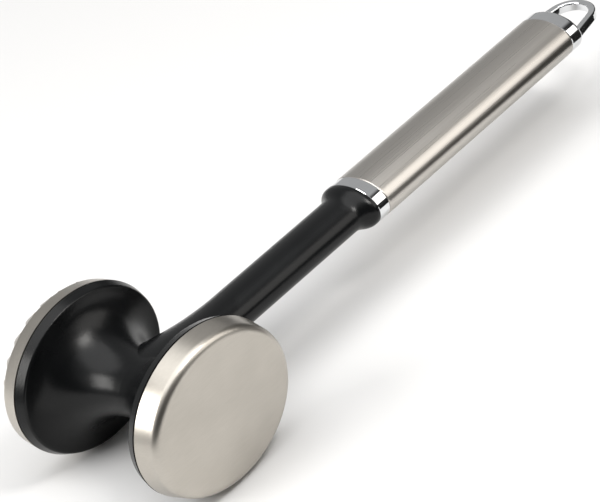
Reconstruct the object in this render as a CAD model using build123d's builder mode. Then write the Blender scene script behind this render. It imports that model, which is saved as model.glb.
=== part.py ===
from build123d import *
import os
from math import cos, radians, sin

# Two-faced meat mallet: a moulded black head and neck between two pressed steel striking
# caps, with an oval steel tube handle and a cast end cap that carries the hanging loop.
#
# Frame, in millimetres: the origin is the centre of the smooth striking face, which looks
# along -Y. +X runs along the handle, from the head to the hanging loop, and +Z is up.

# ---- Driving dimensions: head --------------------------------------------------------------
disc_half_width = 30.0       # oval discs, along the handle
disc_half_height = 25.7
mouth_reach = 25.6           # head centre to the mouth of either cap
smooth_depth = 8.0           # from the smooth cap's mouth to its face
smooth_taper = 1.5           # how far its skirt draws in over that depth
smooth_edge_radius = 3.0
toothed_depth = 6.0
toothed_taper = 0.8
toothed_edge_radius = 1.7
steel_thickness = 1.0
rim_width = 3.2              # black rim behind each cap
rim_corner_radius = 0.8
rim_draft = 1.0              # how far the rim draws in towards the waist
waist_radius = 9.4
seal_thickness = 0.6
seal_recess = 0.5            # how far the seal sits below the rim
boss_reach = 28.0            # head centre to the end of the boss inside a cap
boss_inset = 1.7             # boss below the rim all round, to clear the cap's wall
tooth_height = 2.4
tooth_base = 5.5
tooth_root_depth = 0.8       # the teeth start this far below the face
tooth_flank = 33.0           # degrees from upright
tooth_edge_radius = 0.35

# ---- Driving dimensions: neck and handle, along X ------------------------------------------
neck_half_width = 8.4        # oval neck, across the handle
neck_half_height = 5.9
root_start = 2.0             # the neck's flared root starts inside the waist
root_end = 40.0
collar_start = 92.0
ferrule_start = 100.5
tube_start = 105.5
tube_end = 207.5
grip_half_width = 11.87      # oval grip, across the handle
grip_half_height = 7.5
ferrule_half_width = 11.7
tube_wall = 0.8
collar_rim = 1.1             # straight end of the collar, against the ferrule
tang_end = 125.0             # black tang inside the tube
rod_radius = 3.0
rod_start = -2.9             # the rod's end inside the head weight
rod_end = 198.4
slug_radius = 6.0
core_end = 190.0
washer_thickness = 1.5
nut_across_flats = 10.0
nut_height = 5.0
spigot_length = 7.5
end_cap_length = 6.2         # chromed ring behind the tube
end_cap_edge = 1.5

# ---- Driving dimensions: hanging loop ------------------------------------------------------
loop_tip_centre = 15.3       # from the tube's end
loop_tip_radius = 9.0
loop_root = 3.0              # where the legs start, inside the end cap
loop_root_half_width = 11.3
loop_bar_width = 2.6
loop_height = 3.4
loop_edge_radius = 0.7

# ---- Clearances -----------------------------------------------------------------------------
loose = 0.1                  # round pieces in their holes, and ovals in the tube
seam = 0.25                  # break on visible sheet edges

head_y = mouth_reach + smooth_depth
oval = disc_half_width / disc_half_height
head_axis = Axis((0, head_y, 0), (0, 1, 0))
middle = Plane(origin=(0, head_y, 0), x_dir=(1, 0, 0), z_dir=(0, 0, 1))


def across_handle(x):
    """Plane square to the handle at x; sketch x runs across the handle and sketch y runs up."""
    return Plane(origin=(x, head_y, 0), x_dir=(0, 1, 0), z_dir=(1, 0, 0))


def across_head(reach, side):
    """Plane square to the head's axis; side is -1 at the smooth face and +1 at the toothed one."""
    return Plane(origin=(0, head_y + side * reach, 0), x_dir=(1, 0, 0), z_dir=(0, side, 0))


def finish(builder, name):
    """Label a finished piece and write it."""
    builder.part.label = name
    export_step(builder.part, f"parts/{name}.step")


os.makedirs("parts", exist_ok=True)

# ---- Head body: spool with two bells, neck, collar and tang, one black moulding -------------
seat_reach = mouth_reach - seal_thickness
dish_reach = seat_reach - rim_width
dish_half_height = disc_half_height - rim_draft
sweep_depth = dish_half_height - waist_radius

# Sections of the flared root: distance along the handle, half width across, half height.
root_sections = [(root_start, 17.0, 9.2), (8.0, 13.4, 8.9), (14.0, 11.5, 8.2), (20.0, 10.0, 7.4)]
root_sections += [(27.0, 9.0, 6.6), (34.0, 8.5, 6.1), (root_end, neck_half_width, neck_half_height)]
# Sections of the collar's S-shaped shoulder, as shares of the way from neck to full oval.
shoulder_length = ferrule_start - collar_rim - collar_start
shoulder_steps = [(0.0, 0.0), (0.2, 0.01), (0.45, 0.15), (0.65, 0.5), (0.82, 0.84), (1.0, 1.0)]

with BuildPart() as head_body:
    with BuildSketch(middle) as spool:
        with BuildLine():
            # Quarter ellipse, from the rim down to the waist.
            EllipticalCenterArc((dish_half_height, 0), sweep_depth, dish_reach, start_angle=90, arc_size=90)
            Polyline(
                (dish_half_height, dish_reach),
                (disc_half_height, seat_reach),
                (disc_half_height - boss_inset, seat_reach),
                (disc_half_height - boss_inset, boss_reach),
                (0, boss_reach),
                (0, 0),
                (waist_radius, 0),
            )
        make_face()
        fillet(spool.vertices().sort_by_distance((dish_half_height, dish_reach))[0], rim_corner_radius)
        mirror(about=Plane.XZ)
    revolve(axis=head_axis)
    scale(by=(oval, 1, 1), about=(0, head_y, 0))
    for x, half_width, half_height in root_sections:
        with BuildSketch(across_handle(x)):
            Ellipse(half_width, half_height)
    loft()
    with BuildSketch(across_handle(root_end)):
        Ellipse(neck_half_width, neck_half_height)
    extrude(amount=collar_start - root_end)
    for along, share in shoulder_steps:
        with BuildSketch(across_handle(collar_start + along * shoulder_length)):
            Ellipse(
                neck_half_width + share * (ferrule_half_width - neck_half_width),
                neck_half_height + share * (grip_half_height - neck_half_height),
            )
    loft()
    with BuildSketch(across_handle(ferrule_start - collar_rim)):
        Ellipse(ferrule_half_width, grip_half_height)
    extrude(amount=collar_rim)
    with BuildSketch(across_handle(ferrule_start)):
        Ellipse(grip_half_width - tube_wall - 2 * loose, grip_half_height - tube_wall - 2 * loose)
    extrude(amount=tang_end - ferrule_start)
    with BuildSketch(across_head(-boss_reach, 1)):
        Circle(slug_radius + loose)
    extrude(amount=2 * boss_reach, mode=Mode.SUBTRACT)
    with BuildSketch(across_handle(0)):
        Circle(rod_radius + loose)
    extrude(amount=tang_end, mode=Mode.SUBTRACT)
finish(head_body, "head_body")

# ---- Seals between the rims and the caps -----------------------------------------------------
for side, name in ((-1, "smooth_cap_seal"), (1, "toothed_cap_seal")):
    with BuildPart() as seal:
        with BuildSketch(across_head(seat_reach, side)):
            Ellipse(disc_half_width - seal_recess, disc_half_height - seal_recess)
            boss_half_height = disc_half_height - boss_inset + loose
            Ellipse(boss_half_height * oval, boss_half_height, mode=Mode.SUBTRACT)
        extrude(amount=seal_thickness)
    finish(seal, name)


# ---- Striking caps ----------------------------------------------------------------------------
def cap_form(side, depth, taper, inset, edge_radius):
    """Solid cap shape: a tapered oval cup, inset by a wall, with its face edge rounded."""
    with BuildPart() as form:
        with BuildSketch(across_head(mouth_reach, side)):
            Ellipse(disc_half_width - inset, disc_half_height - inset)
        with BuildSketch(across_head(mouth_reach + depth - inset, side)):
            Ellipse(disc_half_width - inset - taper, disc_half_height - inset - taper)
        loft()
        fillet(form.edges().sort_by(Axis.Y)[-1 if side > 0 else 0], edge_radius - inset)
    return form.part


with BuildPart() as smooth_cap:
    add(cap_form(-1, smooth_depth, smooth_taper, 0, smooth_edge_radius))
    add(cap_form(-1, smooth_depth, smooth_taper, steel_thickness, smooth_edge_radius), mode=Mode.SUBTRACT)
finish(smooth_cap, "smooth_cap")

# Rings of teeth: share of the disc's radius, number of teeth in the ring.
tooth_rings = [(0.86, 23), (0.62, 17), (0.385, 10), (0.15, 4)]
toothed_reach = mouth_reach + toothed_depth
with BuildPart() as tooth:
    with BuildSketch():
        Rectangle(tooth_base, tooth_base)
    extrude(amount=tooth_root_depth + tooth_height, taper=tooth_flank)
    fillet(tooth.edges() - tooth.edges().group_by(Axis.Z)[0], tooth_edge_radius)

tooth_plane = across_head(toothed_reach - tooth_root_depth, 1)
tooth_places = []
for share, count in tooth_rings:
    for step in range(count):
        turn = 360.0 * step / count
        across = share * disc_half_width * cos(radians(turn))
        up = share * disc_half_height * sin(radians(turn))
        tooth_places.append(tooth_plane.location * Location((across, up, 0), (0, 0, turn)))

with BuildPart() as toothed_cap:
    add(cap_form(1, toothed_depth, toothed_taper, 0, toothed_edge_radius))
    add(cap_form(1, toothed_depth, toothed_taper, steel_thickness, toothed_edge_radius), mode=Mode.SUBTRACT)
    with Locations(*tooth_places):
        add(tooth.part)
finish(toothed_cap, "toothed_cap")

# ---- Steel backing plates inside the caps, and the weight through the waist ---------------------
plate_inset = smooth_taper + steel_thickness + smooth_edge_radius
plates = [(-1, smooth_depth, "smooth_backing_plate"), (1, toothed_depth, "toothed_backing_plate")]
for side, depth, name in plates:
    with BuildPart() as plate:
        with BuildSketch(across_head(boss_reach, side)):
            Ellipse(disc_half_width - plate_inset, disc_half_height - plate_inset)
        extrude(amount=mouth_reach + depth - steel_thickness - boss_reach)
    finish(plate, name)

with BuildPart() as head_weight:
    with BuildSketch(across_head(-boss_reach, 1)):
        Circle(slug_radius)
    extrude(amount=2 * boss_reach)
    with BuildSketch(across_handle(rod_start - loose)):
        Circle(rod_radius + loose)
    extrude(amount=2 * slug_radius, mode=Mode.SUBTRACT)
finish(head_weight, "head_weight")

# ---- Tie rod and the pieces inside the handle ------------------------------------------------------
with BuildPart() as tie_rod:
    with BuildSketch(across_handle(rod_start)):
        Circle(rod_radius)
    extrude(amount=rod_end - rod_start)
    chamfer(tie_rod.edges().filter_by(GeomType.CIRCLE), 0.5)
finish(tie_rod, "tie_rod")

tube_bore_half_width = grip_half_width - tube_wall
tube_bore_half_height = grip_half_height - tube_wall
with BuildPart() as grip_core:
    with BuildSketch(across_handle(tang_end)):
        Ellipse(tube_bore_half_width - loose, tube_bore_half_height - loose)
        Circle(rod_radius + loose, mode=Mode.SUBTRACT)
    extrude(amount=core_end - tang_end)
finish(grip_core, "grip_core")

with BuildPart() as tie_washer:
    with BuildSketch(across_handle(core_end)):
        Ellipse(tube_bore_half_width - 4 * loose, tube_bore_half_height - 4 * loose)
        Circle(rod_radius + loose, mode=Mode.SUBTRACT)
    extrude(amount=washer_thickness)
finish(tie_washer, "tie_washer")

with BuildPart() as tie_nut:
    with BuildSketch(across_handle(core_end + washer_thickness)):
        RegularPolygon(nut_across_flats / 2, 6, major_radius=False)
        Circle(rod_radius + loose, mode=Mode.SUBTRACT)
    extrude(amount=nut_height)
finish(tie_nut, "tie_nut")

# ---- Ferrule, tube and end cap ---------------------------------------------------------------------
with BuildPart() as front_ferrule:
    with BuildSketch(across_handle(ferrule_start)):
        Ellipse(ferrule_half_width, grip_half_height)
        Ellipse(tube_bore_half_width - loose, tube_bore_half_height - loose, mode=Mode.SUBTRACT)
    extrude(amount=tube_start - ferrule_start)
    outer_edges = front_ferrule.edges().group_by(SortBy.LENGTH)[-1]
    chamfer(outer_edges, seam)
finish(front_ferrule, "front_ferrule")

with BuildPart() as handle_tube:
    with BuildSketch(across_handle(tube_start)):
        Ellipse(grip_half_width, grip_half_height)
        Ellipse(tube_bore_half_width, tube_bore_half_height, mode=Mode.SUBTRACT)
    extrude(amount=tube_end - tube_start)
    outer_edges = handle_tube.edges().filter_by(GeomType.ELLIPSE).group_by(SortBy.LENGTH)[-1]
    fillet(outer_edges, seam)
finish(handle_tube, "handle_tube")

with BuildPart() as hanging_loop:
    with BuildSketch(middle):
        with Locations((tube_end + loop_tip_centre, 0)):
            Circle(loop_tip_radius)
        root_offset = loop_root_half_width - loop_bar_width / 2
        with Locations((tube_end + loop_root, root_offset), (tube_end + loop_root, -root_offset)):
            Circle(loop_bar_width / 2)
        make_hull()
        offset(amount=-loop_bar_width, mode=Mode.SUBTRACT)
    extrude(amount=loop_height / 2, both=True)
    fillet(hanging_loop.edges().group_by(Axis.Z)[-1], loop_edge_radius)
    fillet(hanging_loop.edges().group_by(Axis.Z)[0], loop_edge_radius)

with BuildPart() as end_cap:
    with BuildSketch(across_handle(tube_end)):
        Ellipse(grip_half_width, grip_half_height)
    extrude(amount=end_cap_length)
    fillet(end_cap.edges().sort_by(Axis.X)[-1], end_cap_edge)
    chamfer(end_cap.edges().sort_by(Axis.X)[0], seam)
    add(hanging_loop.part)
    with BuildSketch(across_handle(tube_end - spigot_length)):
        Ellipse(tube_bore_half_width - loose, tube_bore_half_height - loose)
    extrude(amount=spigot_length)
finish(end_cap, "end_cap")
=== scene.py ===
"""Looks of the two-faced meat mallet: materials, floor, studio light and camera."""

from math import cos, pi, radians, sin

import bpy
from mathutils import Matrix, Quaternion, Vector


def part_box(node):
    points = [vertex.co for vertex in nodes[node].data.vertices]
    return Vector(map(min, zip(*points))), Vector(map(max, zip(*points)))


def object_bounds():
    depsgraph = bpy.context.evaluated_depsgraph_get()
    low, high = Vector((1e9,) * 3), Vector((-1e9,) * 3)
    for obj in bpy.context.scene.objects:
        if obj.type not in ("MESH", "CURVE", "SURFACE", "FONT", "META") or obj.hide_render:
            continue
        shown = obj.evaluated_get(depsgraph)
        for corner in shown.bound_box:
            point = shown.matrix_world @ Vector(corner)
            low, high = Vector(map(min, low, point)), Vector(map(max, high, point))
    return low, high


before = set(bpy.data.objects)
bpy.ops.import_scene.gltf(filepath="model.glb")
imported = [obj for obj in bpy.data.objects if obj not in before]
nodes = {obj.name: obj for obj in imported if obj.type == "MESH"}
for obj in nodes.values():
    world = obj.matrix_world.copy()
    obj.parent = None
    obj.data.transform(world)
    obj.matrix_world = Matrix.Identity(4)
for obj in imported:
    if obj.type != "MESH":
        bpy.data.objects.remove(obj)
cad_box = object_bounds()

# ---- Places, all from the frame ------------------------------------------------------------------
tube_low, tube_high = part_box("handle_tube")
handle_y = (tube_low.y + tube_high.y) / 2
floor_z = cad_box[0].z


BUMP_DEPTH = 0.0001
FLOOR_SIZE = 6
FLOOR_TONE = 0.74
SKY_STRENGTH = 1.5
SKY_SPREAD = 60             # degrees across
CARD_TONE = 0.02
CARD_WIDTH = 0.15
CARD_HEIGHT = 0.034
CARD_GAP = 0.08             # from the handle's middle
CARD_AZIMUTH = 36
DARK_SIDE = 0.04            # strength of the world in front
GREY_SIDE = 0.42            # strength of the world behind and above
BACKGROUND_TONE = 0.95      # what the camera sees past the floor
GREY_CENTRE = (-0.2, 0.6, 0.75)
GREY_START = 0.24           # cosine of the angle from the grey side's centre
GREY_FULL = 0.40
HEAD_AIM = (0.0, handle_y, 0)
HANDLE_AIM = (0.09, handle_y, 0)

# Soft boxes: name, aim, azimuth, elevation, distance, width, height, radiance, colour.
SOFT_BOXES = [
    ("right_box", HANDLE_AIM, 40, 31, 0.9, 0.60, 0.50, 2.0, (1, 0.975, 0.94)),
    ("front_lamp", HEAD_AIM, 30, 56, 0.9, 0.26, 0.26, 15.0, (1, 0.98, 0.95)),
    ("left_box", HEAD_AIM, -110, 36, 0.8, 0.34, 0.48, 8.5, (1, 0.985, 0.96)),
]


# ---- Node helpers --------------------------------------------------------------------------------
class Maker:
    """Builds one material's node tree."""

    def __init__(self, name):
        self.material = bpy.data.materials.new(name)
        self.material.use_nodes = True
        self.tree = self.material.node_tree
        self.shader = self.tree.nodes["Principled BSDF"]

    def node(self, kind, **settings):
        made = self.tree.nodes.new(kind)
        for name, value in settings.items():
            setattr(made, name, value)
        return made

    def link(self, source, target):
        self.tree.links.new(source, target)

    def set(self, **values):
        """Values of the shader's own sockets, with _ for spaces in their names."""
        for name, value in values.items():
            self.shader.inputs[name.replace("_", " ")].default_value = value

    def matt(self, tone):
        """Plain matt grey, for the floor and the card."""
        self.set(Metallic=0.0, Roughness=0.9, Specular_IOR_Level=0.0)
        self.set(Base_Color=(tone, tone, tone, 1))

    def stretched(self, scale):
        """Object position, scaled along each axis."""
        mapping = self.node("ShaderNodeMapping", vector_type="POINT")
        mapping.inputs["Scale"].default_value = scale
        self.link(self.coordinates(), mapping.inputs["Vector"])
        return mapping.outputs["Vector"]

    def coordinates(self):
        return self.node("ShaderNodeTexCoord").outputs["Object"]

    def noise(self, vector, scale, detail=3.0, rough=0.5):
        made = self.node("ShaderNodeTexNoise")
        made.inputs["Scale"].default_value = scale
        made.inputs["Detail"].default_value = detail
        made.inputs["Roughness"].default_value = rough
        self.link(vector, made.inputs["Vector"])
        return made.outputs["Fac"]

    def spread(self, value, low, high, start=0.3, end=0.7):
        """value from start..end, mapped to low..high."""
        made = self.node("ShaderNodeMapRange", clamp=True)
        made.inputs["From Min"].default_value = start
        made.inputs["From Max"].default_value = end
        made.inputs["To Min"].default_value = low
        made.inputs["To Max"].default_value = high
        self.link(value, made.inputs["Value"])
        return made.outputs["Result"]

    def mixed(self, share, dark, light):
        """Colour between dark and light, by share."""
        made = self.node("ShaderNodeMix", data_type="RGBA")
        made.inputs[6].default_value = (*dark, 1)
        made.inputs[7].default_value = (*light, 1)
        self.link(share, made.inputs[0])
        return made.outputs[2]

    def paint(self, share, dark, light):
        """Base colour between dark and light, by share."""
        self.link(self.mixed(share, dark, light), self.shader.inputs["Base Color"])

    def roughen(self, value):
        self.link(value, self.shader.inputs["Roughness"])

    def sum_of(self, first, second):
        made = self.node("ShaderNodeMath", operation="ADD")
        self.link(first, made.inputs[0])
        self.link(second, made.inputs[1])
        return made.outputs[0]

    def bump(self, height, strength):
        made = self.node("ShaderNodeBump")
        made.inputs["Strength"].default_value = strength
        made.inputs["Distance"].default_value = BUMP_DEPTH
        self.link(height, made.inputs["Height"])
        self.link(made.outputs["Normal"], self.shader.inputs["Normal"])


def black_nylon():
    """Satin black moulding: pebbled mould texture and faint handling marks."""
    m = Maker("black_nylon")
    m.set(Metallic=0.0, IOR=1.45, Specular_IOR_Level=0.3)
    broad = m.noise(m.coordinates(), 35, 4)
    m.paint(m.spread(broad, 0, 1), (0.0022, 0.0025, 0.0028), (0.0042, 0.0046, 0.005))
    m.roughen(m.spread(broad, 0.22, 0.29))
    fine = m.noise(m.coordinates(), 1900, 2)
    m.bump(fine, 0.22)
    return m.material


def cap_steel():
    """Pressed stainless steel: satin, warm grey, with a fine grain and soft cloudy patches."""
    m = Maker("cap_steel")
    m.set(Metallic=1.0)
    grain = m.noise(m.stretched((160, 900, 2600)), 1.0, 3, 0.6)
    cloud = m.noise(m.coordinates(), 45, 2)
    tone = m.sum_of(m.spread(grain, 0, 0.3), m.spread(cloud, 0, 0.7))
    m.paint(tone, (0.425, 0.398, 0.357), (0.525, 0.495, 0.447))
    m.roughen(m.spread(cloud, 0.29, 0.37))
    m.bump(grain, 0.04)
    return m.material


def tube_steel():
    """Stainless steel tube, brushed along its length."""
    m = Maker("tube_steel")
    m.set(Metallic=1.0)
    grain = m.noise(m.stretched((14, 3600, 3600)), 1.0, 4, 0.6)
    cloud = m.noise(m.coordinates(), 30, 3)
    tone = m.sum_of(m.spread(grain, 0, 0.6), m.spread(cloud, 0, 0.4))
    m.paint(tone, (0.505, 0.478, 0.442), (0.565, 0.54, 0.505))
    m.roughen(m.spread(grain, 0.26, 0.34))
    m.bump(grain, 0.05)
    return m.material


def chrome():
    """Polished chrome with faint haze."""
    m = Maker("chrome")
    m.set(Metallic=1.0)
    haze = m.noise(m.coordinates(), 120, 3)
    m.paint(m.spread(haze, 0, 1), (0.76, 0.77, 0.78), (0.80, 0.81, 0.82))
    m.roughen(m.spread(haze, 0.03, 0.07))
    return m.material


def seal_rubber():
    """Matt black rubber."""
    m = Maker("seal_rubber")
    m.set(Metallic=0.0, IOR=1.5)
    speckle = m.noise(m.coordinates(), 900, 2)
    m.paint(m.spread(speckle, 0, 1), (0.006, 0.006, 0.006), (0.012, 0.012, 0.012))
    m.roughen(m.spread(speckle, 0.55, 0.7))
    return m.material


def plain_steel():
    """Zinc plated steel inside the mallet."""
    m = Maker("plain_steel")
    m.set(Metallic=1.0)
    patch = m.noise(m.coordinates(), 250, 4)
    m.paint(m.spread(patch, 0, 1), (0.40, 0.40, 0.42), (0.52, 0.52, 0.53))
    m.roughen(m.spread(patch, 0.3, 0.5))
    return m.material


def core_plastic():
    """Dark grey moulded filler inside the tube."""
    m = Maker("core_plastic")
    m.set(Metallic=0.0, IOR=1.5)
    speckle = m.noise(m.coordinates(), 400, 3)
    m.paint(m.spread(speckle, 0, 1), (0.045, 0.045, 0.05), (0.06, 0.06, 0.066))
    m.roughen(m.spread(speckle, 0.5, 0.65))
    return m.material


finishes = {
    black_nylon: ["head_body"],
    cap_steel: ["smooth_cap", "toothed_cap"],
    tube_steel: ["handle_tube"],
    chrome: ["front_ferrule", "end_cap"],
    seal_rubber: ["smooth_cap_seal", "toothed_cap_seal"],
    plain_steel: [
        "smooth_backing_plate",
        "toothed_backing_plate",
        "head_weight",
        "tie_rod",
        "tie_washer",
        "tie_nut",
    ],
    core_plastic: ["grip_core"],
}
for make, names in finishes.items():
    material = make()
    for name in names:
        nodes[name].data.materials.clear()
        nodes[name].data.materials.append(material)


# ---- Floor, light and camera ---------------------------------------------------------------------
def towards(azimuth, elevation):
    """Unit vector; azimuth 0 is in front of the smooth face and 90 at the loop's end."""
    turn, climb = radians(azimuth), radians(elevation)
    return Vector((sin(turn) * cos(climb), -cos(turn) * cos(climb), sin(climb)))


def add_floor():
    bpy.ops.mesh.primitive_plane_add(size=FLOOR_SIZE, location=(0.1, handle_y, floor_z))
    floor = bpy.context.object
    floor.name = "floor"
    m = Maker("floor_paint")
    m.matt(FLOOR_TONE)
    floor.data.materials.append(m.material)


def add_softbox(name, aim, azimuth, elevation, distance, width, height, radiance, colour):
    """Soft rectangular light, seen from aim at an azimuth and elevation."""
    light = bpy.data.lights.new(name, "AREA")
    light.shape = "RECTANGLE"
    light.size = width
    light.size_y = height
    light.energy = radiance * pi * width * height
    light.color = colour
    made = bpy.data.objects.new(name, light)
    bpy.context.scene.collection.objects.link(made)
    back = towards(azimuth, elevation)
    made.location = Vector(aim) + back * distance
    made.rotation_mode = "QUATERNION"
    made.rotation_quaternion = (-back).to_track_quat("-Z", "Y")


def add_sky_light():
    """Broad soft light from straight above, even over the whole floor."""
    light = bpy.data.lights.new("sky_light", "SUN")
    light.energy = SKY_STRENGTH
    light.angle = radians(SKY_SPREAD)
    made = bpy.data.objects.new("sky_light", light)
    bpy.context.scene.collection.objects.link(made)


def add_dark_card():
    """Low black card beside the handle, unseen by the camera: the tube's dark streak."""
    middle = Vector(((tube_low.x + tube_high.x) / 2, handle_y, 0)) + towards(CARD_AZIMUTH, 0) * CARD_GAP
    middle.z = floor_z + CARD_HEIGHT / 2
    bpy.ops.mesh.primitive_plane_add(size=1, location=middle)
    card = bpy.context.object
    card.name = "dark_card"
    card.scale = (CARD_WIDTH, CARD_HEIGHT, 1)
    card.rotation_euler = (radians(90), 0, radians(CARD_AZIMUTH))
    card.visible_camera = False
    card.visible_shadow = False
    m = Maker("card_black")
    m.matt(CARD_TONE)
    card.data.materials.append(m.material)


def add_room():
    """World: grey behind and above, dark in front, and a plain pale background for the camera."""
    world = bpy.data.worlds.new("studio")
    world.use_nodes = True
    bpy.context.scene.world = world
    tree = world.node_tree
    room = tree.nodes["Background"]
    view = tree.nodes.new("ShaderNodeTexCoord")
    dot = tree.nodes.new("ShaderNodeVectorMath")
    dot.operation = "DOT_PRODUCT"
    dot.inputs[1].default_value = Vector(GREY_CENTRE).normalized()
    ramp = tree.nodes.new("ShaderNodeMapRange")
    ramp.interpolation_type = "SMOOTHSTEP"
    ramp.inputs["From Min"].default_value = GREY_START
    ramp.inputs["From Max"].default_value = GREY_FULL
    ramp.inputs["To Min"].default_value = DARK_SIDE
    ramp.inputs["To Max"].default_value = GREY_SIDE
    tree.links.new(view.outputs["Generated"], dot.inputs[0])
    tree.links.new(dot.outputs["Value"], ramp.inputs["Value"])
    tree.links.new(ramp.outputs["Result"], room.inputs["Strength"])
    room.inputs["Color"].default_value = (1, 1, 1, 1)
    plain = tree.nodes.new("ShaderNodeBackground")
    plain.inputs["Color"].default_value = (BACKGROUND_TONE, BACKGROUND_TONE, BACKGROUND_TONE, 1)
    path = tree.nodes.new("ShaderNodeLightPath")
    mix = tree.nodes.new("ShaderNodeMixShader")
    tree.links.new(path.outputs["Is Camera Ray"], mix.inputs["Fac"])
    tree.links.new(room.outputs["Background"], mix.inputs[1])
    tree.links.new(plain.outputs["Background"], mix.inputs[2])
    tree.links.new(mix.outputs["Shader"], tree.nodes["World Output"].inputs["Surface"])


def add_camera():
    """Camera above and left of the smooth face, rolled so that the handle climbs rightwards."""
    azimuth, elevation, roll = -40.72, 31.77, -16.6
    aim = Vector((0.0671, handle_y - 0.0077, 0.0064))
    back = towards(azimuth, elevation)
    data = bpy.data.cameras.new("camera")
    data.sensor_width = 36
    data.lens = 155.03
    data.clip_start = 0.05
    data.clip_end = 20
    camera = bpy.data.objects.new("camera", data)
    bpy.context.scene.collection.objects.link(camera)
    camera.location = aim + back * 0.8
    camera.rotation_mode = "QUATERNION"
    camera.rotation_quaternion = (-back).to_track_quat("-Z", "Y") @ Quaternion((0, 0, 1), radians(roll))
    bpy.context.scene.camera = camera


add_floor()
add_room()
for soft_box in SOFT_BOXES:
    add_softbox(*soft_box)
add_sky_light()
add_dark_card()
add_camera()

bpy.context.scene.view_settings.view_transform = "Standard"
